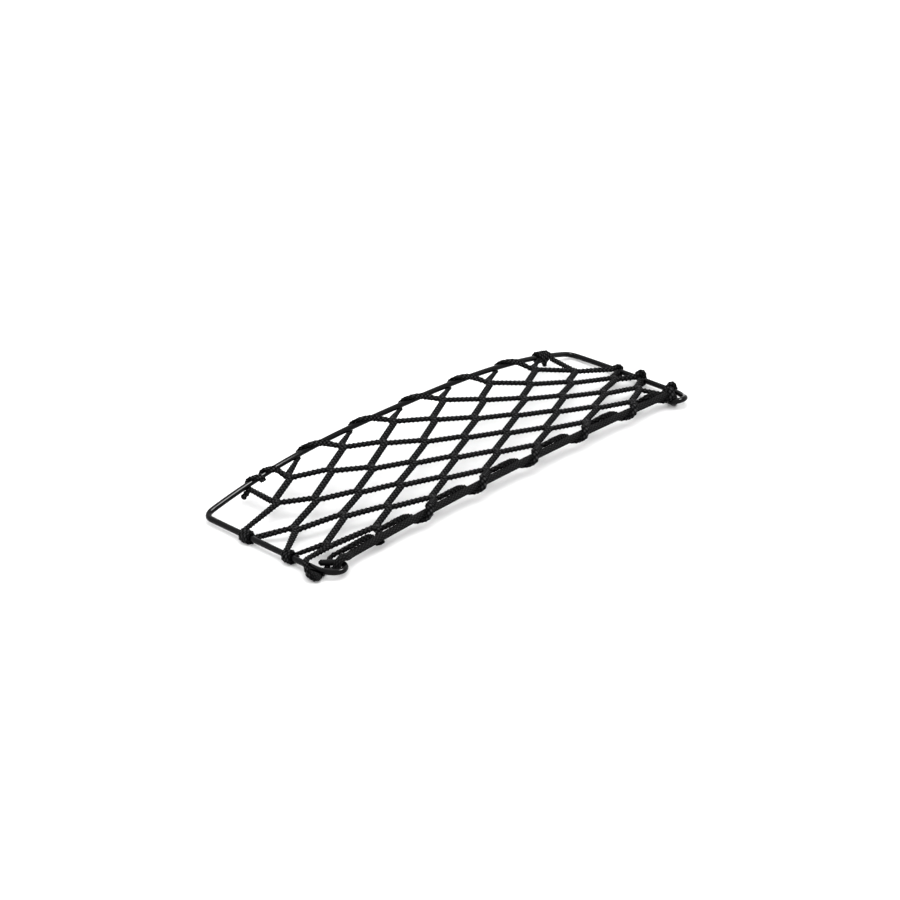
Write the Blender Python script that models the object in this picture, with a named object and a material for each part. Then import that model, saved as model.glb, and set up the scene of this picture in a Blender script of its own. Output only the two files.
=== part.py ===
"""Cargo net of elastic cord on a bent wire frame, lying on a flat surface.

The sizes are in millimetres. X runs along the net, Y from its elastic edge to the far wire, and Z up. Every
Y below is measured from the line through the centres of the frame's two end eyes.
"""

import math

import bpy
import bmesh
from mathutils import Vector

MM = 0.001

# Wire frame
FRAME_LENGTH = 400.0
FRAME_DEPTH = 125.0
ARCH_RISE = 22.0
WIRE_DIAMETER = 4.5
WIRE_HEIGHT_NEAR = 5.6
WIRE_HEIGHT_FAR = 4.2
CORNER_RADIUS = 11.0
EYE_RADIUS = 7.0
EYE_LEAD_RADIUS = 20.0
EYE_STUB = 10.0

# Cords
NET_CORD = 3.6
EDGE_CORD = 5.2
EDGE_START = 3.7
EDGE_PULL_IN = 3.0
EDGE_HEIGHT = 6.4
EDGE_RISE = 5.0
CLEARANCE = 0.36
KNOT_SWELL = 1.3
KNOT_REACH = 3.4

# Rows of crossings, from the far wire to the elastic edge. y is the row's place at the middle of the net,
# tilt what the right end adds to it, middle the X of the middle column, step the distance from column to
# column, and drawn how far the crossings next to the legs are pulled towards them.
NET_ROWS = {
    1: {"y": 109.3, "tilt": -0.5, "middle": 5.0, "step": 27.1, "drawn": 0.0},
    2: {"y": 91.6, "tilt": -2.5, "middle": 4.4, "step": 27.2, "drawn": 0.0},
    3: {"y": 73.8, "tilt": 0.0, "middle": 3.4, "step": 28.2, "drawn": 0.0},
    4: {"y": 58.4, "tilt": 1.0, "middle": 4.0, "step": 28.5, "drawn": 7.0},
    5: {"y": 43.8, "tilt": 0.3, "middle": 5.7, "step": 29.0, "drawn": 0.0},
    6: {"y": 29.3, "tilt": 0.8, "middle": 7.7, "step": 29.1, "drawn": 0.0},
    7: {"y": 15.6, "tilt": 2.0, "middle": 10.4, "step": 29.0, "drawn": 0.0},
}
MIDDLE_COLUMN = 5
DRAWN_COLUMNS = (-1, 11)

# Windings as rows of share of their length and angle round what they are wound on. On the wire, 0 is
# outside the frame, 90 above and 180 inside. On the elastic edge, 0 is the near side and 180 the net's.
FAR_LOOP = ((0.46, 195), (0.54, 290), (0.62, 345), (0.84, 380), (0.93, 440), (1.0, 495))
EDGE_LOOP = ((0.12, 150), (0.36, 118), (0.47, 60), (0.51, 0), (0.57, -75), (0.64, -170))
LEFT_KNOT = ((0.0, 135), (0.1, 40), (0.42, -10), (1.0, -1260))
RIGHT_KNOT = ((0.0, 190), (1.0, 1630))
LEFT_KNOT_ENDS = (-129.0, -159.0)
RIGHT_KNOT_ENDS = (157.0, 178.0)
KNOT_TAIL_DROP = 4.0

# Turns on the legs: the middle of each winding and its number of turns, at one pitch
WRAP_PITCH = 4.1
WRAP_ANGLE = 150
LEFT_WRAPS = {3: (81.0, 3), 5: (36.5, 3), 7: (20.5, 2)}
RIGHT_WRAPS = {3: (71.5, 2), 5: (45.0, 2), 7: (20.5, 2)}

# Where the elastic edge bends over an eye, as a plan angle on the eye, and the route of its loose end:
# from the hole of the eye under the leg and back along the leg's outer side. inside is the distance from
# the leg's centre line towards the net, and lift the height above where it just passes under the wire.
EDGE_STRAIGHT = 174.0
EDGE_GRIP_ANGLE = 23
EDGE_GRIP_BENDS = (180, 135, 90, 50)
EDGE_END_ROUTE = (
    {"inside": 11.4, "y": 1.6, "lift": 2.0},
    {"inside": 8.2, "y": 5.6, "lift": 0.0},
    {"inside": 3.6, "y": 9.4, "lift": 0.0},
    {"inside": -0.6, "y": 10.2, "lift": 0.0},
    {"inside": -4.3, "y": 8.2, "lift": 0.9},
    {"inside": -4.9, "y": 5.0, "lift": 2.0},
    {"inside": -4.0, "y": 0.5, "lift": 2.5},
)

# How the net cord passes the cut end of the wire, on its way from the leg to the elastic edge
STUB_PASS = ({"inside": 11.5, "y": 16.6, "lift": 8.6}, {"inside": 19.0, "y": 12.8, "lift": 9.7})
FIRST_EDGE_CROSSING = -163.0
LAST_EDGE_CROSSING = 187.0

TURN_STEPS = 8
NET_SIDES = 6
EDGE_SIDES = 8
WIRE_SIDES = 10

half_length = FRAME_LENGTH / 2
wire_radius = WIRE_DIAMETER / 2
net_radius = NET_CORD / 2
edge_radius = EDGE_CORD / 2
# A winding of straight steps passes closer to its core than a round one, so it is made this much wider
step_allowance = 1 / math.cos(math.pi / TURN_STEPS)
net_on_wire = (wire_radius + CLEARANCE + net_radius) * step_allowance
net_on_edge = (edge_radius + CLEARANCE + net_radius) * step_allowance
edge_on_wire = (wire_radius + CLEARANCE + edge_radius) * step_allowance
pass_under = WIRE_HEIGHT_NEAR - wire_radius - edge_radius - 2 * CLEARANCE
slant = math.sqrt(0.5)
eye_inset = EYE_LEAD_RADIUS - (EYE_LEAD_RADIUS - EYE_RADIUS) * slant
# The part's own frame has its origin under the middle of the whole part
middle_y = (FRAME_DEPTH + net_on_wire + net_radius - EYE_RADIUS - wire_radius) / 2
up = Vector((0, 0, 1))


def clear_scene():
    for obj in list(bpy.data.objects):
        bpy.data.objects.remove(obj, do_unlink=True)


def mix(a, b, share):
    return a + (b - a) * share


def read_table(table, share):
    """Value at a share, on the straight lines between a table's rows."""
    for (start, low), (end, high) in zip(table, table[1:]):
        if share <= end:
            return mix(low, high, (share - start) / (end - start))
    return table[-1][1]


def direction(degrees):
    turn = math.radians(degrees)
    return Vector((math.cos(turn), math.sin(turn), 0))


# Centre lines


def leg_height(y):
    return mix(WIRE_HEIGHT_NEAR, WIRE_HEIGHT_FAR, y / FRAME_DEPTH)


def arch(x):
    return 1 - (x / half_length) ** 2


def far_wire(x):
    return Vector((x, FRAME_DEPTH, WIRE_HEIGHT_FAR + ARCH_RISE * arch(x)))


def leg_wire(side):
    """Centre line of one leg: side is -1 on the left and 1 on the right."""
    return lambda y: Vector((side * half_length, y, leg_height(y)))


def edge_line(x):
    return Vector((x, EDGE_START + EDGE_PULL_IN * arch(x), EDGE_HEIGHT + EDGE_RISE * arch(x)))


def net_height(x, y):
    """The net is stretched straight from the elastic edge to the far wire."""
    near, far = edge_line(x), far_wire(x)
    return mix(near.z, far.z, (y - near.y) / (far.y - near.y))


def crossing(row, column):
    sizes = NET_ROWS[row]
    from_middle = column - MIDDLE_COLUMN
    x = sizes["middle"] + sizes["step"] * from_middle
    if column in DRAWN_COLUMNS:
        x += math.copysign(sizes["drawn"], from_middle)
    y = sizes["y"] + sizes["tilt"] * x / half_length
    return Vector((x, y, net_height(x, y)))


# Wire frame


def arc(centre, radius, first, last, steps):
    """Points of a flat arc between two plan angles, without its first point."""
    return [centre + direction(mix(first, last, i / steps)) * radius for i in range(1, steps + 1)]


def right_half_plan():
    """Right half of the wire in plan, from the middle of its far side to the cut end of the stub."""
    far_steps, corner_steps, leg_steps, lead_steps, eye_steps = 11, 6, 3, 3, 12
    corner_x, corner_y = half_length - CORNER_RADIUS, FRAME_DEPTH - CORNER_RADIUS
    lead_y = (EYE_LEAD_RADIUS - EYE_RADIUS) * slant
    points = [Vector((corner_x * i / far_steps, FRAME_DEPTH, 0)) for i in range(far_steps + 1)]
    points += arc(Vector((corner_x, corner_y, 0)), CORNER_RADIUS, 90, 0, corner_steps)
    for i in range(1, leg_steps + 1):
        points.append(Vector((half_length, mix(corner_y, lead_y, i / leg_steps), 0)))
    points += arc(Vector((half_length - EYE_LEAD_RADIUS, lead_y, 0)), EYE_LEAD_RADIUS, 0, -45, lead_steps)
    points += arc(Vector((half_length - eye_inset, 0, 0)), EYE_RADIUS, -45, -225, eye_steps)
    points.append(points[-1] + direction(45) * EYE_STUB)
    return points


def lift_wire(point):
    """The far side is sprung into an arch, which dies away round the corners."""
    share = max(0.0, 1 - (FRAME_DEPTH - point.y) / CORNER_RADIUS)
    rise = ARCH_RISE * arch(point.x) * share * (2 - share)
    return Vector((point.x, point.y, leg_height(point.y) + rise))


def mirrored(points):
    return [Vector((-p.x, p.y, p.z)) for p in reversed(points)]


def wire_path():
    right = right_half_plan()
    return [lift_wire(p) for p in mirrored(right[1:]) + right]


# Windings


def wind(core, outward, radius, ends, table):
    """Points wound on a core line between two places on it, at the angles of a table."""
    shares = [table[0][0]]
    for (start, low), (end, high) in zip(table, table[1:]):
        steps = math.ceil(abs(high - low) * TURN_STEPS / 360)
        shares += [mix(start, end, i / steps) for i in range(1, steps + 1)]
    points = []
    for share in shares:
        turn = math.radians(read_table(table, share))
        reach = outward * math.cos(turn) + up * math.sin(turn)
        points.append(core(mix(*ends, share)) + reach * radius)
    return points


def far_loop(column):
    """Loop on the far wire above this odd column, from its left crossing to its right one."""
    ends = (crossing(1, column - 1).x, crossing(1, column + 1).x)
    return wind(far_wire, Vector((0, 1, 0)), net_on_wire, ends, FAR_LOOP)


def far_knot(ends, table):
    return wind(far_wire, Vector((0, 1, 0)), net_on_wire, ends, table)


def edge_loop(left, right):
    """Loop on the elastic edge between two places, from left to right."""
    return wind(edge_line, Vector((0, -1, 0)), net_on_edge, (left, right), EDGE_LOOP)


def leg_wrap(side, row):
    """Turns on a leg, from the far end to the near one."""
    middle, turns = (LEFT_WRAPS if side < 0 else RIGHT_WRAPS)[row]
    half = turns * WRAP_PITCH / 2
    table = ((0.0, WRAP_ANGLE), (1.0, WRAP_ANGLE - 360 * turns))
    return wind(leg_wire(side), Vector((side, 0, 0)), net_on_wire, (middle + half, middle - half), table)


def beside_left_leg(route):
    return [Vector((p["inside"] - half_length, p["y"], pass_under + p["lift"])) for p in route]


# Net cords. A cord is a list of points, each with a mark that says whether it swells there.


def plain(points):
    return [(point, False) for point in points]


def flipped(cord):
    return list(reversed(cord))


def falling(row, column, last_row):
    """Crossings from one row down to another and to the right. Here the cord swells round the other one."""
    rows = range(row, last_row + 1)
    return [(crossing(r, column + r - row), True) for r in rows]


def rising(row, column, last_row):
    """Crossings from one row down to another and to the left."""
    rows = range(row, last_row + 1)
    return [(crossing(r, column - r + row), False) for r in rows]


def to_edge(row, column):
    """A falling cord from this crossing, round the elastic edge, to the last row's next crossing."""
    last = column + 7 - row
    loop = edge_loop(crossing(7, last).x, crossing(7, last + 2).x)
    return falling(row, column, 7) + plain(loop) + [(crossing(7, last + 2), False)]


def net_cords():
    """The eight cords of the net, none of which meets itself, and the loose ends of the knots."""
    first = flipped(to_edge(1, 0)) + plain(far_knot(LEFT_KNOT_ENDS, LEFT_KNOT)) + [(crossing(2, -1), False)]

    second = flipped(to_edge(1, 2)) + flipped(plain(far_loop(1))) + rising(1, 0, 2)
    second += plain(leg_wrap(-1, 3)) + to_edge(4, -1)

    right_end = plain(edge_loop(crossing(7, 10).x, LAST_EDGE_CROSSING) + mirrored(beside_left_leg(STUB_PASS)))
    right_end += flipped(plain(leg_wrap(1, 7))) + [(crossing(6, 11), False)]
    third = flipped(falling(1, 4, 7) + right_end) + flipped(plain(far_loop(3))) + rising(1, 2, 4)
    third += plain(leg_wrap(-1, 5)) + to_edge(6, -1)

    left_end = plain(leg_wrap(-1, 7) + beside_left_leg(STUB_PASS))
    left_end += plain(edge_loop(FIRST_EDGE_CROSSING, crossing(7, 0).x)) + [(crossing(7, 0), False)]
    fourth = flipped(falling(1, 6, 6)) + flipped(plain(far_loop(5))) + rising(1, 4, 6) + left_end

    fifth = flipped(falling(1, 8, 4) + plain(leg_wrap(1, 5)) + rising(6, 11, 7))
    fifth += flipped(plain(far_loop(7))) + rising(1, 6, 7)

    sixth = flipped(falling(1, 10, 2) + plain(leg_wrap(1, 3)) + rising(4, 11, 7))
    sixth += flipped(plain(far_loop(9))) + rising(1, 8, 7)

    seventh = flipped(rising(1, 10, 7)) + plain(far_knot(RIGHT_KNOT_ENDS, RIGHT_KNOT)) + rising(2, 11, 7)
    return [first, second, third, fourth, fifth, sixth, seventh, to_edge(2, -1)] + knot_tails()


def knot_tails():
    """The short ends that hang from the knots on the far wire."""
    tails = []
    for x in (LEFT_KNOT_ENDS[1] + NET_CORD, RIGHT_KNOT_ENDS[1] - NET_CORD):
        start = far_wire(x) - up * net_on_wire
        tails.append(plain([start, start - up * KNOT_TAIL_DROP]))
    return tails


# Elastic edge


def edge_path():
    """The elastic edge, laid over the ring of each eye, down its hole and round the leg."""
    out = direction(EDGE_GRIP_ANGLE)
    grip = Vector((eye_inset - half_length, 0, 0)) + out * EYE_RADIUS
    grip.z = leg_height(grip.y)
    left = list(reversed(beside_left_leg(EDGE_END_ROUTE)))
    for bend in EDGE_GRIP_BENDS:
        turn = math.radians(bend)
        left.append(grip + (out * math.cos(turn) + up * math.sin(turn)) * edge_on_wire)
    steps = 22
    run = [edge_line(mix(-EDGE_STRAIGHT, EDGE_STRAIGHT, i / steps)) for i in range(steps + 1)]
    return left + run + mirrored(left)


# Solids


def sweep(points, radii, sides):
    """A closed tube along points. What would lie below the surface is pressed flat on it."""
    mesh = bmesh.new()
    last = len(points) - 1
    rings = []
    normal = None
    for i, point in enumerate(points):
        tangent = (points[min(i + 1, last)] - points[max(i - 1, 0)]).normalized()
        normal = normal or tangent.orthogonal()
        normal = (normal - tangent * normal.dot(tangent)).normalized()
        side = tangent.cross(normal)
        ring = []
        for k in range(sides):
            turn = 2 * math.pi * k / sides
            place = point + (normal * math.cos(turn) + side * math.sin(turn)) * radii[i]
            ring.append(mesh.verts.new(Vector((place.x, place.y - middle_y, max(place.z, 0.0))) * MM))
        rings.append(ring)
    for a, b in zip(rings, rings[1:]):
        for k in range(sides):
            mesh.faces.new((a[k], a[(k + 1) % sides], b[(k + 1) % sides], b[k]))
    mesh.faces.new(rings[0])
    mesh.faces.new(rings[-1])
    bmesh.ops.recalc_face_normals(mesh, faces=mesh.faces)
    return mesh


def add_object(name, mesh, material):
    data = bpy.data.meshes.new(name)
    mesh.to_mesh(data)
    mesh.free()
    data.materials.append(material)
    data.shade_smooth()
    obj = bpy.data.objects.new(name, data)
    bpy.context.collection.objects.link(obj)
    return obj


def add_material(name, colour, roughness):
    material = bpy.data.materials.new(name)
    material.use_nodes = True
    shader = material.node_tree.nodes["Principled BSDF"]
    shader.inputs["Base Color"].default_value = (*colour, 1)
    shader.inputs["Roughness"].default_value = roughness
    shader.inputs["Metallic"].default_value = 0.0
    return material


def swell(cord):
    """Ring centres and radii of a net cord, with a thicker ring between two plain ones where it swells."""
    points, radii = [], []
    for i, (point, swells) in enumerate(cord):
        if swells and 0 < i < len(cord) - 1:
            for near in (cord[i - 1][0], point, cord[i + 1][0]):
                step = near - point
                points.append(point + step.normalized() * KNOT_REACH if step.length else point)
                radii.append(net_radius if step.length else net_radius * KNOT_SWELL)
        else:
            points.append(point)
            radii.append(net_radius)
    return points, radii


def add_net(material):
    """All cords of the net joined into one body, because each crossing is a knot."""
    pieces = []
    for number, cord in enumerate(net_cords(), start=1):
        points, radii = swell(cord)
        pieces.append(add_object(f"net_cord_{number}", sweep(points, radii, NET_SIDES), material))
    net = pieces[0]
    net.name = "net"
    for piece in pieces[1:]:
        piece.hide_render = True
        piece.display_type = "WIRE"
        union = net.modifiers.new(piece.name, "BOOLEAN")
        union.operation = "UNION"
        union.object = piece


def main():
    clear_scene()
    wire_coating = add_material("black_wire_coating", (0.012, 0.012, 0.013), 0.25)
    cord_cover = add_material("black_cord_cover", (0.010, 0.010, 0.011), 0.85)
    elastic_cover = add_material("black_elastic_cover", (0.020, 0.020, 0.021), 0.8)
    wire = wire_path()
    add_object("wire_frame", sweep(wire, [wire_radius] * len(wire), WIRE_SIDES), wire_coating)
    edge = edge_path()
    add_object("edge_cord", sweep(edge, [edge_radius] * len(edge), EDGE_SIDES), elastic_cover)
    add_net(cord_cover)


main()
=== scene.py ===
import math

import bmesh
import bpy
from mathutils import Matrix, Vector


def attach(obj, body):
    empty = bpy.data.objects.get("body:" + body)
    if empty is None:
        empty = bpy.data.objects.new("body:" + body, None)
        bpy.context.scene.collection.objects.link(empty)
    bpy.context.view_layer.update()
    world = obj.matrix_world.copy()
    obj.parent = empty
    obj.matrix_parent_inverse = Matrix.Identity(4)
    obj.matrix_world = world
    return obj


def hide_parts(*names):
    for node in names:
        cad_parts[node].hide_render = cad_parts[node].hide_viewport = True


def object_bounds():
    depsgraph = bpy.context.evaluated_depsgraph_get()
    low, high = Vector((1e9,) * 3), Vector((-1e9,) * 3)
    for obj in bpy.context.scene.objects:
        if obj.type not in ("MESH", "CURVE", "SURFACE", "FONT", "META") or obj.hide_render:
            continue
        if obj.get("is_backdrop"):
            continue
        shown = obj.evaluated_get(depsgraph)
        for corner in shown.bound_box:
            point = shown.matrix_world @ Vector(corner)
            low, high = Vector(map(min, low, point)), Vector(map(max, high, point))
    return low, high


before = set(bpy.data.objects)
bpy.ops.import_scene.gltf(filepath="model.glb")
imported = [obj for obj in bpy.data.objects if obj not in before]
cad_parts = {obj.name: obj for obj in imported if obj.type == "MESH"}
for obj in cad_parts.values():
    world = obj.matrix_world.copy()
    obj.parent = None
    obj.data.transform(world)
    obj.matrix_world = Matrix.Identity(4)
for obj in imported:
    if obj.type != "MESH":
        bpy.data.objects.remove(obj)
cadLow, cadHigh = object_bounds()
print("packed frame loaded")

mm = 0.001
up = Vector((0, 0, 1))

# Lengths are in millimetres: x along the net, y from the line through the two end eyes, z up
layout = {
    "length": 400.0,
    "depth": 125.0,
    "arch": 19.9,
    "archPower": 2.7,  # 2 is a parabola, and more is flatter in the middle
    "nearHeight": 5.6,
    "farHeight": 4.2,
    "lean": 4.0,  # how far the right leg leans out at its far end
    "drop": 1.4,  # and how much lower it lies there
    "dropPower": 4,  # 1 is a straight fall, and more keeps it near the corner
    "middleY": 61.16,  # from the eye line to the origin of the frame
    "lowest": 0.02,  # what would lie lower is pressed flat at this height
    "flatEnd": 0.12,  # share of a cord's section that stays as a flat face at its ends
}
halfLength = layout["length"] / 2


def mix(a, b, share):
    return a + (b - a) * share


def readTable(table, share):
    for (start, low), (end, high) in zip(table, table[1:]):
        if share <= end:
            return mix(low, high, (share - start) / (end - start))
    return table[-1][1]


def heading(degrees):
    turn = math.radians(degrees)
    return Vector((math.cos(turn), math.sin(turn), 0))


def legHeight(y):
    return mix(layout["nearHeight"], layout["farHeight"], y / layout["depth"])


def archShare(x):
    return 1 - (x / halfLength) ** 2


def wireRise(x):
    return layout["arch"] * (1 - abs(x / halfLength) ** layout["archPower"])


def settled(point):
    # The right leg leans out and down towards its far end
    share = max(0.0, point.x / halfLength) * max(0.0, point.y / layout["depth"])
    return point + Vector((layout["lean"] * share, 0, -layout["drop"] * share ** layout["dropPower"]))


def farWire(x):
    return settled(Vector((x, layout["depth"], layout["farHeight"] + wireRise(x))))


def legWire(side):
    return lambda y: settled(Vector((side * halfLength, y, legHeight(y))))


def mirrored(points):
    return [Vector((-p.x, p.y, p.z)) for p in reversed(points)]


# Paths are lists of stations: a place, the direction of the thin side, and sizes. They are spaced evenly, and
# then rounded off by averaging each station with its neighbours


def evenStations(stations, pitch):
    lengths = [(b[0] - a[0]).length for a, b in zip(stations, stations[1:])]
    count = max(2, round(sum(lengths) / pitch))
    step = sum(lengths) / count
    made, left, i = [stations[0]], step, 0
    for n in range(1, count):
        while left > lengths[i]:
            left -= lengths[i]
            i += 1
        share = left / lengths[i]
        made.append(tuple(mix(a, b, share) for a, b in zip(stations[i], stations[i + 1])))
        left += step
    return made + [stations[-1]]


def rounded(stations, passes):
    for n in range(passes):
        threes = zip(stations, stations[1:], stations[2:])
        inner = [tuple((p + q * 2 + r) / 4 for p, q, r in zip(a, b, c)) for a, b, c in threes]
        stations = [stations[0]] + inner + [stations[-1]]
    return stations


def addTube(name, paths, sides, ring):
    # Closed tubes along the paths, with a UV map of millimetres along and turns around
    mesh = bmesh.new()
    uv = mesh.loops.layers.uv.new("cordMap")
    for number, stations in enumerate(paths):
        last = len(stations) - 1
        points = [station[0] for station in stations]
        rings, alongs, along = [], [], 0.0
        for i, point in enumerate(points):
            tangent = (points[min(i + 1, last)] - points[max(i - 1, 0)]).normalized()
            thin = stations[i][1]
            thin = (thin - tangent * thin.dot(tangent)).normalized()
            across = tangent.cross(thin)
            if i:
                along += (point - points[i - 1]).length
            made = []
            for k in range(sides):
                thinReach, acrossReach = ring(number, i, last, along, 2 * math.pi * k / sides)
                spot = point + thin * thinReach + across * acrossReach
                spot = Vector((spot.x, spot.y - layout["middleY"], max(spot.z, layout["lowest"]))) * mm
                made.append(mesh.verts.new(spot))
            rings.append(made)
            alongs.append(along)
        for i in range(last):
            for k in range(sides):
                far = (k + 1) % sides
                face = mesh.faces.new((rings[i][k], rings[i][far], rings[i + 1][far], rings[i + 1][k]))
                face.smooth = True
                spots = ((alongs[i], k), (alongs[i], k + 1), (alongs[i + 1], k + 1), (alongs[i + 1], k))
                for loop, (length, side) in zip(face.loops, spots):
                    loop[uv].uv = (length, side / sides)
        for made, length in ((rings[0], 0.0), (rings[-1], alongs[-1])):
            face = mesh.faces.new(made)
            for k, loop in enumerate(face.loops):
                loop[uv].uv = (length, k / sides)
    bmesh.ops.recalc_face_normals(mesh, faces=mesh.faces)
    data = bpy.data.meshes.new(name)
    mesh.to_mesh(data)
    mesh.free()
    piece = bpy.data.objects.new(name, data)
    bpy.context.collection.objects.link(piece)
    return piece


def withThinSide(points):
    # Stations for a round tube, with a thin side that is carried along the path without twist
    stations, thin, last = [], None, len(points) - 1
    for i, point in enumerate(points):
        tangent = (points[min(i + 1, last)] - points[max(i - 1, 0)]).normalized()
        thin = thin or tangent.orthogonal()
        thin = (thin - tangent * thin.dot(tangent)).normalized()
        stations.append((point, thin))
    return stations


def endShare(i, last, pitch, reach):
    # 1 along a cord, falling to a small flat face in a dome of this reach at its ends
    near = min(i, last - i) * pitch
    if near >= reach:
        return 1.0
    flat = layout["flatEnd"]
    return math.sqrt(max(0.0, 1 - (1 - near / reach) ** 2) * (1 - flat) + flat)


# Shader maths: a socket that can be used in sums, and a material that makes every other node


class Signal:
    def __init__(self, finish, socket):
        self.finish = finish
        self.socket = socket

    def maths(self, operation, first, second=0.0):
        return self.finish.node("ShaderNodeMath", {"operation": operation}, {0: first, 1: second})

    def __add__(self, other):
        return self.maths("ADD", self, other)

    def __sub__(self, other):
        return self.maths("SUBTRACT", self, other)

    def __rsub__(self, other):
        return self.maths("SUBTRACT", other, self)

    def __mul__(self, other):
        return self.maths("MULTIPLY", self, other)

    def __truediv__(self, other):
        return self.maths("DIVIDE", self, other)

    def __rtruediv__(self, other):
        return self.maths("DIVIDE", other, self)

    def __mod__(self, other):
        return self.maths("FLOORED_MODULO", self, other)

    def __round__(self):
        return self.maths("ROUND", self)

    def cos(self):
        return self.maths("COSINE", self)

    __radd__ = __add__
    __rmul__ = __mul__


class Finish:
    def __init__(self, name, constants):
        self.material = bpy.data.materials.new(name)
        self.material.use_nodes = True
        self.tree = self.material.node_tree
        self.shader = self.tree.nodes["Principled BSDF"]
        for socket, value in constants.items():
            self.shader.inputs[socket].default_value = value

    def put(self, target, value):
        if isinstance(value, Signal):
            self.tree.links.new(value.socket, target)
        elif hasattr(target.default_value, "__len__") and len(target.default_value) == 4 and len(value) == 3:
            target.default_value = (*value, 1.0)
        else:
            target.default_value = value

    def node(self, kind, settings=None, inputs=None, output=0):
        made = self.tree.nodes.new(kind)
        for name, value in (settings or {}).items():
            if name == "stops":
                for stop, (place, colour) in zip(made.color_ramp.elements, value):
                    stop.position, stop.color = place, colour
            else:
                setattr(made, name, value)
        for name, value in (inputs or {}).items():
            self.put(made.inputs[name], value)
        return Signal(self, made.outputs[output])

    def colours(self, share, low, high):
        return self.node("ShaderNodeMix", {"data_type": "RGBA"}, {0: share, 6: low, 7: high}, 2)

    def noise(self, scale, detail, roughness=0.5):
        place = self.node("ShaderNodeTexCoord", output=3)  # object coordinates, in metres
        inputs = {"Vector": place, "Scale": scale, "Detail": detail, "Roughness": roughness}
        return self.node("ShaderNodeTexNoise", inputs=inputs)

    def feed(self, socket, value):
        self.put(self.shader.inputs[socket], value)

    def relief(self, height, depth):
        self.feed("Normal", self.node("ShaderNodeBump", inputs={"Height": height, "Distance": depth}))


# Coated wire frame: far side, two corners, two legs and an eye at each end

wireFrame = {
    "diameter": 4.5,
    "corner": 7.0,
    "eye": 7.0,
    "eyeLead": 20.0,
    "stubs": (12.0, 6.0),  # the straight end of the wire after the left ring and after the right one
    "ringTilt": 0.35,  # how much the right eye's ring climbs towards its near side
    "bendStep": 6,  # degrees from point to point in a bend
    "pitch": 1.5,
    "rounding": 2,
    "sides": 28,
    "endDome": 0.7,
    "gloss": 0.08,
    "coating": (0.0015, 0.0015, 0.0018),
    "scuffed": (0.006, 0.006, 0.006),
    "roughness": (0.04, 0.09),
    # Noises: scale, detail and roughness
    "clouds": (38, 2),
    "waves": (240, 2),
    "grain": (900, 4, 0.6),
    "scuffs": (260, 5, 0.7),
    "scuffStops": (0.6, 0.72),  # where in its noise a scuff starts, and where it is full
    "scuffTint": 0.4,
    "scuffRoughness": 0.08,
    "grainShare": 0.4,  # of the relief, and the waves have the rest
    "ripple": 0.00002,
}
wireRadius = wireFrame["diameter"] / 2
slant = math.sqrt(0.5)
eyeInset = wireFrame["eyeLead"] - (wireFrame["eyeLead"] - wireFrame["eye"]) * slant


def arc(centre, radius, first, last):
    steps = max(2, round(abs(last - first) / wireFrame["bendStep"]))
    return [centre + heading(mix(first, last, i / steps)) * radius for i in range(1, steps + 1)]


def liftWire(point):
    share = max(0.0, 1 - (layout["depth"] - point.y) / wireFrame["corner"])
    rise = wireRise(point.x) * share * (2 - share)
    tilt = wireFrame["ringTilt"] * max(0.0, -point.y) if point.x > 0 else 0.0
    return settled(Vector((point.x, point.y, legHeight(point.y) + rise + tilt)))


def wirePath():
    corner, eye, lead = wireFrame["corner"], wireFrame["eye"], wireFrame["eyeLead"]
    cornerX, cornerY, leadY = halfLength - corner, layout["depth"] - corner, (lead - eye) * slant
    right = [Vector((0, layout["depth"], 0)), Vector((cornerX, layout["depth"], 0))]
    right += arc(Vector((cornerX, cornerY, 0)), corner, 90, 0)
    right.append(Vector((halfLength, leadY, 0)))
    right += arc(Vector((halfLength - lead, leadY, 0)), lead, 0, -45)
    right += arc(Vector((halfLength - eyeInset, 0, 0)), eye, -45, -225)
    leftStub, rightStub = [right[-1] + heading(45) * reach for reach in wireFrame["stubs"]]
    left = mirrored(right[1:] + [leftStub])
    path = evenStations([(p,) for p in left + right + [rightStub]], wireFrame["pitch"])
    return withThinSide([liftWire(station[0]) for station in rounded(path, wireFrame["rounding"])])


def wireRing(number, i, last, along, turn):
    radius = wireRadius * endShare(i, last, wireFrame["pitch"], wireFrame["endDome"])
    return math.cos(turn) * radius, math.sin(turn) * radius


def wireCoating():
    finish = Finish("glossyWireCoating", {"Metallic": 0.0, "Specular IOR Level": wireFrame["gloss"]})
    clouds, waves, grain = [finish.noise(*wireFrame[name]) for name in ("clouds", "waves", "grain")]
    start, full = wireFrame["scuffStops"]
    stops = ((start, (0, 0, 0, 1)), (full, (1, 1, 1, 1)))
    scuffs = finish.node("ShaderNodeValToRGB", {"stops": stops}, {0: finish.noise(*wireFrame["scuffs"])})
    tint = scuffs * wireFrame["scuffTint"] * clouds
    finish.feed("Base Color", finish.colours(tint, wireFrame["coating"], wireFrame["scuffed"]))
    low, high = wireFrame["roughness"]
    finish.feed("Roughness", clouds * (high - low) + low + scuffs * wireFrame["scuffRoughness"])
    share = wireFrame["grainShare"]
    finish.relief(grain * share + waves * (1 - share), wireFrame["ripple"])
    return finish.material


wirePiece = addTube("frameWire", [wirePath()], wireFrame["sides"], wireRing)
wirePiece.data.materials.append(wireCoating())
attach(wirePiece, "root")
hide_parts("wire_frame")
print("wire frame built:", len(wirePiece.data.vertices), "points")


# Thick elastic along the open side, gripped in both eyes

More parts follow.
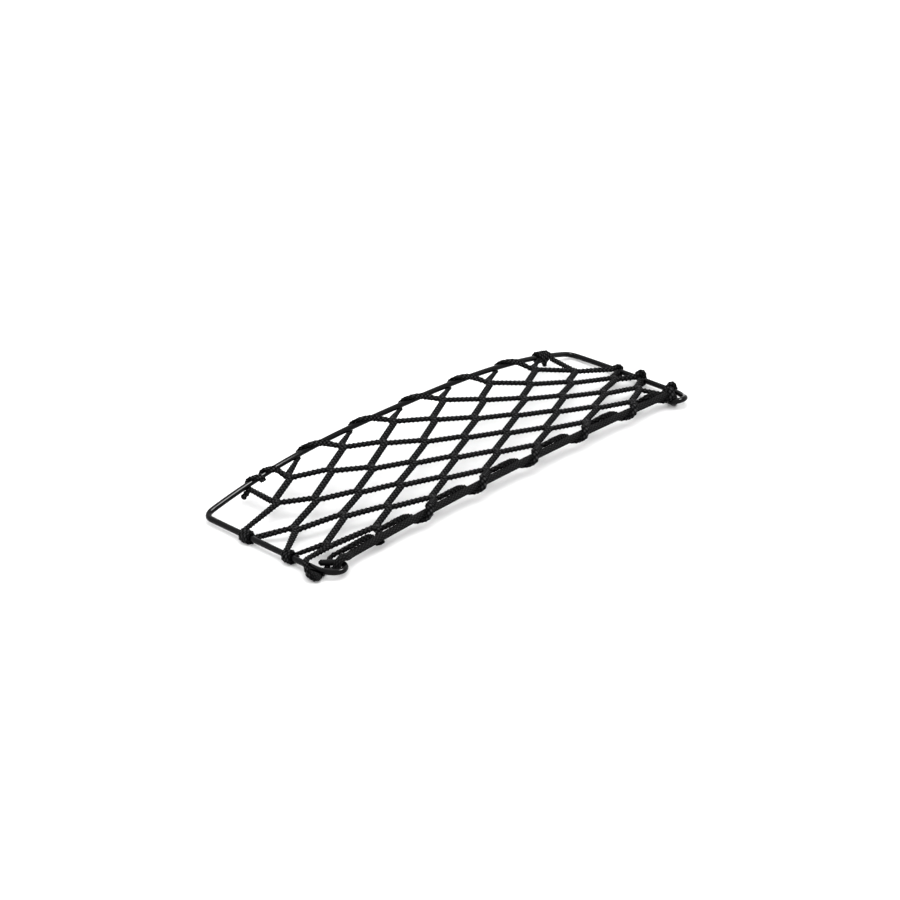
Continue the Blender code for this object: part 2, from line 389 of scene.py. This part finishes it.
edgeElastic = {
    "diameter": 5.6,
    "start": 3.3,
    "tilt": 1.6,  # what the right end adds to y, and the left end takes off
    "pullIn": 3.0,
    "height": 7.95,
    "rise": 3.6,
    "climb": 1.25,  # what the right end adds to the height, and the left end takes off
    "straight": 172.0,
    # Where the elastic lies over each ring, from the direction of the other eye
    "gripAngles": {-1: -5, 1: 30},
    "gripBends": (180, 150, 120, 90, 65, 50),
    "gripGap": 0.05,
    "gripSpare": 0.35,  # extra radius over the ring, which the rounding of the path takes off again
    "underGap": 0.3,  # from the wire to where the elastic just passes under it
    # From the hole of the eye under the leg and back along its outer side: distance from the leg towards
    # the net, y, and height above where the elastic just passes under the wire
    "endRoutes": {
        -1: (
            (11.4, 1.2, 2.0), (8.2, 5.6, 0.4), (3.6, 9.6, 0.2), (-0.6, 12.0, 0.6), (-4.4, 11.0, 2.2),
            (-5.4, 6.0, 3.5), (-5.6, -1.0, 3.9),
        ),
        1: ((11.4, 1.6, 2.0), (8.2, 5.6, 0.4), (4.4, 8.6, 0.2)),
    },
    "runSteps": 60,
    "pitch": 0.7,
    "rounding": 8,
    "sides": 24,
    "endDome": 1.1,
    "ribStarts": 8,
    "ribPeriod": 3.6,
    "ribDepth": 0.1,
    "weave": 0.00035,
    "gloss": 0.05,
    "gapShadeColour": (0.0004, 0.0004, 0.0005),
    "ribColour": (0.0165, 0.0165, 0.017),
    "edgeShade": 0.0,  # it is round, so it has no narrow sides
}
edgeRadius = edgeElastic["diameter"] / 2
passUnder = layout["nearHeight"] - wireRadius - edgeRadius - edgeElastic["underGap"]


def edgeLine(x):
    share = archShare(x)
    y = edgeElastic["start"] + edgeElastic["tilt"] * x / halfLength + edgeElastic["pullIn"] * share
    z = edgeElastic["height"] + edgeElastic["climb"] * x / halfLength + edgeElastic["rise"] * share
    return Vector((x, y, z))


def edgeEnd(side):
    # From the loose end through the hole of the eye and over its ring, drawn at the left eye for both ends
    out = heading(edgeElastic["gripAngles"][side])
    grip = Vector((eyeInset - halfLength, 0, 0)) + out * wireFrame["eye"]
    grip.z = legHeight(grip.y)
    reach = wireRadius + edgeRadius + edgeElastic["gripGap"] + edgeElastic["gripSpare"]
    route = reversed(edgeElastic["endRoutes"][side])
    end = [Vector((inside - halfLength, y, passUnder + lift)) for inside, y, lift in route]
    for bend in edgeElastic["gripBends"]:
        turn = math.radians(bend)
        end.append(grip + (out * math.cos(turn) + up * math.sin(turn)) * reach)
    return end


def edgePath():
    straight, steps = edgeElastic["straight"], edgeElastic["runSteps"]
    run = [edgeLine(mix(-straight, straight, i / steps)) for i in range(steps + 1)]
    path = evenStations([(p,) for p in edgeEnd(-1) + run + mirrored(edgeEnd(1))], edgeElastic["pitch"])
    return withThinSide([station[0] for station in rounded(path, edgeElastic["rounding"])])


def edgeRing(number, i, last, along, turn):
    rib = math.cos(edgeElastic["ribStarts"] * turn) * math.cos(2 * math.pi * along / edgeElastic["ribPeriod"])
    radius = edgeRadius + edgeElastic["ribDepth"] * rib
    radius *= endShare(i, last, edgeElastic["pitch"], edgeElastic["endDome"])
    return math.cos(turn) * radius, math.sin(turn) * radius


# Cover of both elastic cords: a braid of two sets of strands, each on top in every other cell, with fine
# threads along each strand

# The cover's colour paints light and shade of the braid's relief. Strand crowns get ribColour, and painted
# shade darkens the gaps between strands and threads. Fuzz and patches add random tone.
braid = {
    "wander": (420, 2),  # noises: scale, detail and roughness
    "fuzz": (3200, 3, 0.7),
    "patches": (60, 3),
    "wobble": 0.16,  # how far a strand wanders from its place, as share of a cell
    "hump": 0.3,  # how much a strand sinks towards the ends of its cell
    "threads": 5,  # in a strand
    "relief": (0.8, 0.07, 0.12),  # what ribs, threads and fuzz add to the relief
    "shade": (1.5, 0.08, 0.2, 0.25),  # what ribs, threads, fuzz and patches add to the share of ribColour
    "shadeDepth": 0.55,  # what comes off that share everywhere
    "roughness": (0.92, 0.14, 0.06),  # in the gaps, and what ribs and fuzz take off
}


def cordCover(name, sizes):
    finish = Finish(name, {"Specular IOR Level": sizes["gloss"]})
    spot = finish.node("ShaderNodeUVMap", {"uv_map": "cordMap"})
    along = finish.node("ShaderNodeSeparateXYZ", None, {0: spot}, 0) / sizes["ribPeriod"]
    around = finish.node("ShaderNodeSeparateXYZ", None, {0: spot}, 1) * sizes["ribStarts"]
    wobble = (finish.noise(*braid["wander"]) - 0.5) * braid["wobble"]
    right, left = around + along + wobble, around - along + wobble
    rightCell, leftCell = round(right), round(left)
    rightOff, leftOff = right - rightCell, left - leftCell
    over = (rightCell + leftCell) % 2

    def strand(across, lengthwise):
        hump = (lengthwise * 2 * math.pi).cos() * braid["hump"] + (1 - braid["hump"])
        return (across * math.pi).cos() * hump

    def thread(across):
        return (across * 2 * math.pi * braid["threads"]).cos()

    ribs = strand(leftOff, rightOff) * over + strand(rightOff, leftOff) * (1 - over)
    threads = thread(leftOff) * over + thread(rightOff) * (1 - over)
    fuzz, patches = finish.noise(*braid["fuzz"]), finish.noise(*braid["patches"])
    byRibs, byThreads, byFuzz, byPatches = braid["shade"]
    shade = ribs * byRibs - braid["shadeDepth"] + threads * byThreads + fuzz * byFuzz
    shade = shade + (patches - 0.5) * byPatches
    # edgeShade paints shade into the colour along a flat cord's two narrow sides
    if sizes["edgeShade"]:  # dark along the two narrow sides of a flat cord
        flat = (around * (4 * math.pi / sizes["ribStarts"])).cos()
        shade = shade * (flat * (sizes["edgeShade"] / 2) + (1 - sizes["edgeShade"] / 2))
    # gapShadeColour is painted shade: the dark that falls in the gaps between strands
    finish.feed("Base Color", finish.colours(shade, sizes["gapShadeColour"], sizes["ribColour"]))
    inGaps, byRibs, byFuzz = braid["roughness"]
    finish.feed("Roughness", inGaps - ribs * byRibs - fuzz * byFuzz)
    byRibs, byThreads, byFuzz = braid["relief"]
    finish.relief(ribs * byRibs + threads * byThreads + fuzz * byFuzz, sizes["weave"])
    return finish.material


edgePiece = addTube("edgeElastic", [edgePath()], edgeElastic["sides"], edgeRing)
edgePiece.data.materials.append(cordCover("wovenElasticCover", edgeElastic))
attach(edgePiece, "root")
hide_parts("edge_cord")
print("edge elastic built:", len(edgePiece.data.vertices), "points")


# Net of oval braided elastic: eight cords laced in diamonds, and the loose ends of two knots

netCord = {
    "wide": 5.4,
    "thick": 3.2,
    "nearHeight": (6.5, 4.1),  # the net's height on the eye line, at its ends and what the middle adds
    "farHeight": (4.2, 22.0),
    # Rows of crossings from the far wire to the edge: y at the middle, what the right end adds to y, x of the
    # middle column, and distance from column to column
    "rows": {
        1: (109.3, -0.5, 5.0, 27.1),
        2: (91.6, -2.5, 4.4, 27.2),
        3: (73.8, 0.0, 3.4, 28.2),
        4: (58.4, 1.0, 4.0, 28.5),
        5: (43.8, 0.3, 5.7, 29.0),
        6: (29.3, 0.8, 7.7, 29.1),
        7: (15.6, 2.0, 10.4, 29.0),
    },
    "middleColumn": 5,
    "outerColumns": (-1, 11),
    # Crossings pulled off their rows: row and column, and what that adds to x and y
    "drawn": {(4, -1): (-7.0, 0.0), (4, 11): (7.0, 0.0), (6, -1): (-7.0, -4.6), (6, 11): (-1.0, 2.8)},
    # Windings as share of their length and angle: 0 outside or near, 90 above, 180 on the net's side
    "farLoop": (
        (0.37, 235), (0.43, 280), (0.49, 340), (0.53, 390), (0.58, 430), (0.64, 458), (0.7, 477), (0.78, 500),
        (0.86, 526),
    ),
    "edgeLoop": (
        (0.12, 122), (0.22, 133), (0.31, 145), (0.41, 172), (0.5, 200), (0.56, 250), (0.59, 285), (0.63, 322),
        (0.66, 360), (0.7, 405), (0.74, 438),
    ),
    # The first loop, as x and angle: it comes from the left eye and climbs straight up to its crossing
    "firstEdgeLoop": (
        (-170, 122), (-152.6, 140), (-148.6, 172), (-145, 200), (-143.2, 250), (-142.4, 285), (-142.8, 322),
        (-143.8, 360), (-143.4, 405), (-142.4, 438),
    ),
    # The two knots on the far wire, as distance from the middle and angle
    "leftKnot": (
        (131.5, 178), (134.8, 145), (136.8, 125), (138.6, 112), (139.8, 80), (140.7, 35), (141.6, -10),
        (143.0, -90), (144.8, -135), (146.3, -178), (148, -215), (149.6, -235), (151.2, -248), (152.8, -262),
        (154, -300), (155, -360), (156.5, -430), (157.8, -490),
    ),
    "rightKnot": ((157.5, 190), (171.0, 1630)),
    # The loose ends under the knots: x, what the end leans to the side, and what it hangs
    "tails": ((-155.2, -9.5, 4.6), (167.8, -0.6, 4.6)),
    "tailStart": 1.7,  # how far under the wire they start
    "tailMiddle": (0.4, -0.6, -2.0),  # where they bend: share of the lean, y and height from the start
    "tailTip": -1.6,  # y of the tip from the start
    # Turns on the legs, by row: y and angle where they start and end
    "leftWraps": {3: (82.4, 75.2, 105, -880), 5: (38.2, 31.0, 105, -570)},
    "rightWraps": {3: (73.2, 68.4, 150, -200), 5: (48.4, 42.9, 150, -200), 7: (15.6, 11.0, 150, -200)},
    "standing": {3: -0.8, 5: 2.2, 7: 1.4},  # how much thicker the loops on the right leg are above it
    # Over the left leg and round the elastic's loose end, then under the leg and the wire's cut end to the
    # edge: distance from the leg, y and height
    "leftTuck": (
        (2.5, 18.5, 9.0), (-1.5, 16.2, 10.3), (-6.0, 11.8, 10.2), (-9.4, 6.6, 7.6), (-9.0, 3.8, 4.0),
        (-6.0, 3.2, 1.6), (0.0, 4.2, 1.5), (6.0, 6.0, 1.4), (11.0, 8.5, 1.6), (15.0, 12.0, 2.8),
        (19.0, 13.0, 6.0), (24.0, 10.0, 8.5),
    ),
    "tuckCore": (-2.5, 5.0),  # what that cord goes round, as distance from the leg and height
    "tuckReach": 12.0,  # how near to it the cord's thin side faces it
    "rightGuide": (191.0, 15.1, 4.4),  # a place between the right leg's near turn and its crossing
    "lastSpanEnd": 196.0,  # x where the last loop on the edge has its span's end
    # Width and thickness of the cord where it is pulled round something
    "farSize": (4.8, 2.2),  # the far wire, and the left knot
    "edgeSize": (6.3, 4.0),  # the thick elastic
    "wrapSize": (3.9, 2.9),  # the left leg, the elastic's loose end beside it, and the right knot
    "standSize": (4.2, 3.8),  # the right leg, and the loose ends under the knots
    "pulledFlat": 1.6,  # what the thickness on the thick elastic loses under it
    "hug": 0.1,  # a winding's extra radius, which the rounding of its path takes off again
    "turnSteps": 24,
    "joint": (1.0, 2.5),  # half size of a crossing, along and across the net
    "swell": (0.2, 0.3),  # in width and thickness, where one cord is drawn through the other
    "swellReach": 4.4,
    "closest": 0.05,  # a station nearer than this to the one before is left out
    "pitch": 0.72,
    "rounding": 6,
    "sides": 16,
    "endDome": 1.0,
    "ribStarts": 4,
    "ribPeriod": 3.6,
    "ribDepth": 0.62,
    "ribShares": (0.75, 0.75),  # of that depth along a cord, and what a crossing adds
    "weave": 0.0006,
    "gloss": 0.02,
    "gapShadeColour": (0.0003, 0.0003, 0.0004),
    "ribColour": (0.042, 0.042, 0.043),
    # edgeShade: how much painted shade darkens the net cord's two narrow sides
    "edgeShade": 0.75,
}
lastRow = max(netCord["rows"])


def windRadius(radius, size):
    return radius + netCord[size][1] / 2 + netCord["hug"]


def netHeight(x, y):
    (nearEnd, nearAdds), (farEnd, farAdds) = netCord["nearHeight"], netCord["farHeight"]
    share = archShare(x)
    return mix(nearEnd + nearAdds * share, farEnd + farAdds * share, y / layout["depth"])


def crossing(row, column):
    y, tilt, middle, step = netCord["rows"][row]
    aside, back = netCord["drawn"].get((row, column), (0.0, 0.0))
    x = middle + step * (column - netCord["middleColumn"])
    y += tilt * x / halfLength + back
    x += aside
    return Vector((x, y, netHeight(x, y)))


# A station on a cord is its place, the direction of its thin side, its width and its thickness


def free(point):
    return (point, up.copy(), netCord["wide"], netCord["thick"])


def wind(core, outward, radius, ends, table, size):
    shares = [table[0][0]]
    for (start, low), (end, high) in zip(table, table[1:]):
        steps = math.ceil(abs(high - low) * netCord["turnSteps"] / 360)
        shares += [mix(start, end, i / steps) for i in range(1, steps + 1)]
    stations = []
    for share in shares:
        turn = math.radians(readTable(table, share))
        reach = outward * math.cos(turn) + up * math.sin(turn)
        stations.append((core(mix(*ends, share)) + reach * radius, reach, *size))
    return stations


def farLoop(column):
    ends, radius = (crossing(1, column - 1).x, crossing(1, column + 1).x), windRadius(wireRadius, "farSize")
    return wind(farWire, Vector((0, 1, 0)), radius, ends, netCord["farLoop"], netCord["farSize"])


def farKnot(side, table, size):
    return wind(farWire, Vector((0, 1, 0)), windRadius(wireRadius, size), (0, side), table, netCord[size])


def edgeLoop(ends, table):
    # The cord is pulled flatter where it passes under the elastic
    radius = windRadius(edgeRadius, "edgeSize")
    turns = wind(edgeLine, Vector((0, -1, 0)), radius, ends, table, netCord["edgeSize"])
    stations = []
    for point, thin, wide, thick in turns:
        pulled = netCord["pulledFlat"] * max(0.0, -thin.z)
        stations.append((point - thin * (pulled / 2), thin, wide, thick - pulled))
    return stations


def legWrap(side, row):
    # The cord is thicker, or thinner, above the right leg than below it
    wraps, size = ("leftWraps", "wrapSize") if side < 0 else ("rightWraps", "standSize")
    start, end, first, last = netCord[wraps][row]
    table, radius = ((0.0, first), (1.0, last)), windRadius(wireRadius, size)
    turns = wind(legWire(side), Vector((side, 0, 0)), radius, (start, end), table, netCord[size])
    stand = netCord["standing"][row] if side > 0 else 0.0
    stations = []
    for point, thin, wide, thick in turns:
        lift = stand * max(0.0, thin.z)
        stations.append((point + up * (lift / 2), thin, wide, thick + lift))
    return stations


def joint(point, slope):
    # The two cords of a crossing meet on its far side, go through one another and part on its near side
    along, across = netCord["joint"]
    off = Vector((slope * along, -across, 0))
    return [free(point - off), free(point + off)]


def falling(row, column, until=lastRow):
    return [s for r in range(row, until + 1) for s in joint(crossing(r, column + r - row), 1)]


def rising(row, column, until=lastRow):
    return [s for r in range(row, until + 1) for s in joint(crossing(r, column - r + row), -1)]


def flipped(cord):
    return list(reversed(cord))


def toEdge(row, column):
    last = column + lastRow - row
    span = (crossing(lastRow, last).x, crossing(lastRow, last + 2).x)
    return falling(row, column) + edgeLoop(span, netCord["edgeLoop"]) + fromEdge(last + 2)


def fromEdge(column):
    return flipped(rising(lastRow, column))


def leftTuck():
    # The thin side faces what the cord goes round, and points up where the cord has passed it
    inside, height = netCord["tuckCore"]
    stations = []
    for away, y, z in netCord["leftTuck"]:
        point = Vector((away - halfLength, y, z))
        reach = point - Vector((inside - halfLength, y, height))
        thin = reach.normalized() if reach.length < netCord["tuckReach"] and away < abs(inside) else up.copy()
        stations.append((point, thin, *netCord["wrapSize"]))
    return stations


def netCords():
    # Rows and columns of the crossings that each cord passes, and what it goes round between them
    first = flipped(toEdge(1, 0)) + farKnot(-1, netCord["leftKnot"], "farSize") + falling(2, -1, 2)[:1]

    second = flipped(toEdge(1, 2)) + flipped(farLoop(1)) + rising(1, 0, 2)
    second += legWrap(-1, 3) + toEdge(4, -1)

    rightEnd = edgeLoop((crossing(lastRow, 10).x, netCord["lastSpanEnd"]), netCord["edgeLoop"])
    rightEnd += flipped(legWrap(1, 7)) + [free(Vector(netCord["rightGuide"]))] + flipped(rising(6, 11, 6))
    third = flipped(falling(1, 4) + rightEnd) + flipped(farLoop(3)) + rising(1, 2, 4)
    third += legWrap(-1, 5) + toEdge(6, -1)

    leftEnd = leftTuck() + edgeLoop((0.0, 1.0), netCord["firstEdgeLoop"]) + fromEdge(0)
    fourth = flipped(falling(1, 6, 6)) + flipped(farLoop(5)) + rising(1, 4, 6) + leftEnd

    fifth = flipped(falling(1, 8, 4) + legWrap(1, 5) + rising(6, 11))
    fifth += flipped(farLoop(7)) + rising(1, 6)

    sixth = flipped(falling(1, 10, 2) + legWrap(1, 3) + rising(4, 11))
    sixth += flipped(farLoop(9)) + rising(1, 8)

    seventh = flipped(rising(1, 10)) + farKnot(1, netCord["rightKnot"], "wrapSize") + rising(2, 11)
    return [first, second, third, fourth, fifth, sixth, seventh, toEdge(2, -1)] + knotTails()


def knotTails():
    tails = []
    leanShare, bendY, bendZ = netCord["tailMiddle"]
    for x, lean, drop in netCord["tails"]:
        start = farWire(x) - up * (wireRadius + netCord["tailStart"])
        middle = start + Vector((lean * leanShare, bendY, bendZ))
        tip = start + Vector((lean, netCord["tailTip"], -drop))
        tails.append([(spot, Vector((0, 1, 0)), *netCord["standSize"]) for spot in (start, middle, tip)])
    return tails


def cordPath(cord):
    # The thin side never turns over from one station to the next
    made = [cord[0]]
    for point, thin, wide, thick in cord[1:]:
        if (point - made[-1][0]).length > netCord["closest"]:
            made.append((point, thin if thin.dot(made[-1][1]) >= 0 else -thin, wide, thick))
    return rounded(evenStations(made, netCord["pitch"]), netCord["rounding"])


def nearness(point, spots):
    # 1 on a crossing, 0 from the swelling's reach on
    off = min((point - spot).length for spot in spots) / netCord["swellReach"]
    return math.cos(min(off, 1.0) * math.pi) / 2 + 0.5


paths = [cordPath(cord) for cord in netCords()]
left, right = netCord["outerColumns"]
crossings = [crossing(r, c) for r in netCord["rows"] for c in range(left, right + 1) if (c + r) % 2]
opening = [[nearness(station[0], crossings) for station in path] for path in paths]


def netRing(number, i, last, along, turn):
    point, thin, wide, thick = paths[number][i]
    share = opening[number][i]
    plain, added = netCord["ribShares"]
    rib = netCord["ribDepth"] * (plain + share * added)
    rib *= math.cos(netCord["ribStarts"] * turn) * math.cos(2 * math.pi * along / netCord["ribPeriod"])
    end = endShare(i, last, netCord["pitch"], netCord["endDome"])
    wide = (wide / 2 * (1 + netCord["swell"][0] * share) + rib) * end
    thick = (thick / 2 * (1 + netCord["swell"][1] * share) + rib) * end
    return math.cos(turn) * thick, math.sin(turn) * wide


netPiece = addTube("cordNet", paths, netCord["sides"], netRing)
netPiece.data.materials.append(cordCover("braidedCordCover", netCord))
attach(netPiece, "root")
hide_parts("net")
# A net has no cut cloth: its flat area is half of its cords' surface
netSurface = sum(face.area for face in netPiece.data.polygons)
netSurface / 2
print("net built:", len(netPiece.data.vertices), "points,", round(netSurface, 4), "square metres of cord")


# Stage, light and camera

studio = {
    "floorSize": 6.0,
    "floorColour": (0.93, 0.93, 0.93),
    "floorRoughness": 0.9,
    "floorGloss": 0.2,
    "worldColour": (1.0, 1.0, 1.0),
    "worldStrength": 1.55,
    # Softboxes: side of the square, power, place, and whether it lights more than gloss
    "softboxes": {
        "above": (0.8, 3.0, (0.0, 0.0, 1.2), True),
        "aside": (0.36, 34.0, (0.2, -0.34, 0.93), False),
    },
    "lens": 88.6,
    "sensor": 36.0,
    "clip": (0.05, 30.0),
    "cameraSpot": (-1.1037, -1.0360, 0.7526),
    "cameraAim": (0.0063, 0.0152, 0.0),
}


def addFloor():
    half = studio["floorSize"] / 2
    data = bpy.data.meshes.new("studioFloor")
    corners = [(-half, -half, 0), (half, -half, 0), (half, half, 0), (-half, half, 0)]
    data.from_pydata(corners, [], [(0, 1, 2, 3)])
    floor = bpy.data.objects.new("studioFloor", data)
    bpy.context.collection.objects.link(floor)
    constants = {"Roughness": studio["floorRoughness"], "Specular IOR Level": studio["floorGloss"]}
    paper = Finish("palePaper", constants)
    paper.feed("Base Color", studio["floorColour"])
    data.materials.append(paper.material)
    floor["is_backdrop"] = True


def addSoftbox(name, size, power, spot, lightsAll):
    light = bpy.data.lights.new(name, "AREA")
    light.shape, light.size, light.energy = "SQUARE", size, power
    lamp = bpy.data.objects.new(name, light)
    lamp.location = spot
    lamp.visible_diffuse = lightsAll
    lamp.rotation_euler = (-lamp.location).to_track_quat("-Z", "Y").to_euler()
    bpy.context.collection.objects.link(lamp)


def addWorld():
    world = bpy.data.worlds.new("paleStudio")
    world.use_nodes = True
    back = world.node_tree.nodes["Background"]
    back.inputs["Color"].default_value = (*studio["worldColour"], 1.0)
    back.inputs["Strength"].default_value = studio["worldStrength"]
    bpy.context.scene.world = world


def addCamera():
    data = bpy.data.cameras.new("photoCamera")
    data.lens, data.sensor_width, data.sensor_fit = studio["lens"], studio["sensor"], "HORIZONTAL"
    data.clip_start, data.clip_end = studio["clip"]
    camera = bpy.data.objects.new("photoCamera", data)
    spot, aim = Vector(studio["cameraSpot"]), Vector(studio["cameraAim"])
    camera.location = spot
    camera.rotation_euler = (aim - spot).to_track_quat("-Z", "Y").to_euler()
    bpy.context.collection.objects.link(camera)
    bpy.context.scene.camera = camera


addFloor()
addWorld()
for name, values in studio["softboxes"].items():
    addSoftbox(name, *values)
addCamera()
bpy.context.scene.view_settings.view_transform = "Standard"
print("studio set")

seenLow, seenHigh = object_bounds()
{"cad": [list(cadLow), list(cadHigh)], "scene": [list(seenLow), list(seenHigh)]}
